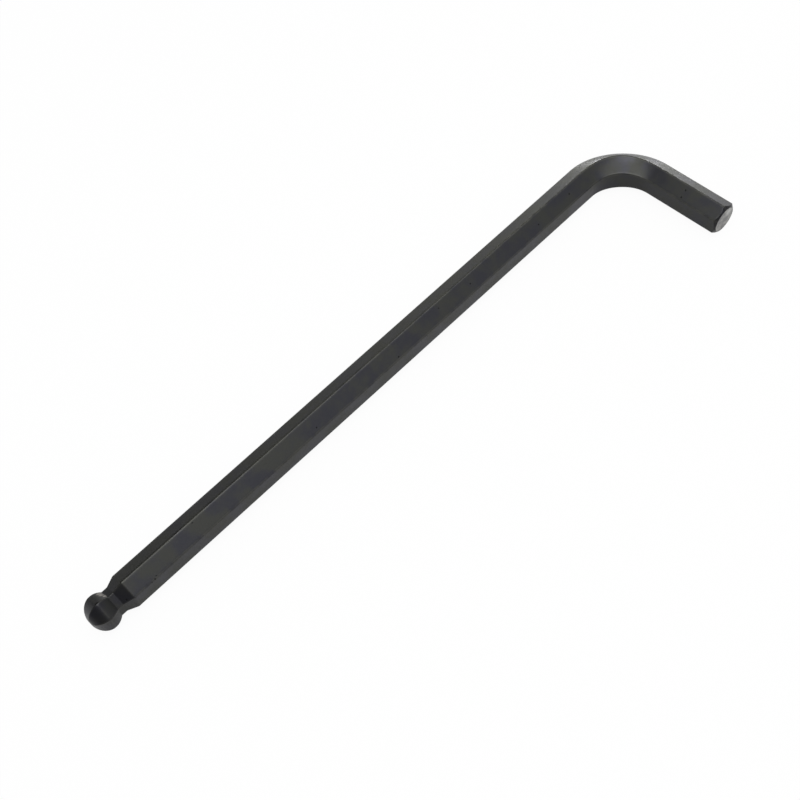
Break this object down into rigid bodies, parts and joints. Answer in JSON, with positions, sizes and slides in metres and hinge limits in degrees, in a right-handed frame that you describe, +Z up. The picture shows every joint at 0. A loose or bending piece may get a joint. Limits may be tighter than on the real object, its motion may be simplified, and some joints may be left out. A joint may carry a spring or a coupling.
{
  "type": "hex key",
  "caption": "L-shaped hexagon key with a plain bevelled short arm and a long arm that ends in a six-sided ball, in black oxide steel.",
  "frame": {"origin": "centre of the bounding box on the surface that the key lies on", "axes": "+X along the long arm from the ball towards the bend, the short arm points to -Y from the +X end, +Z up from the surface"},
  "size_m": [0.234, 0.05, 0.0113],
  "materials": {
    "black_oxide": "satin black oxide, slightly mottled, worn lighter along the corners"
  },
  "bodies": {
    "root": {"hex_key": "black_oxide"}
  },
  "joints": []
}
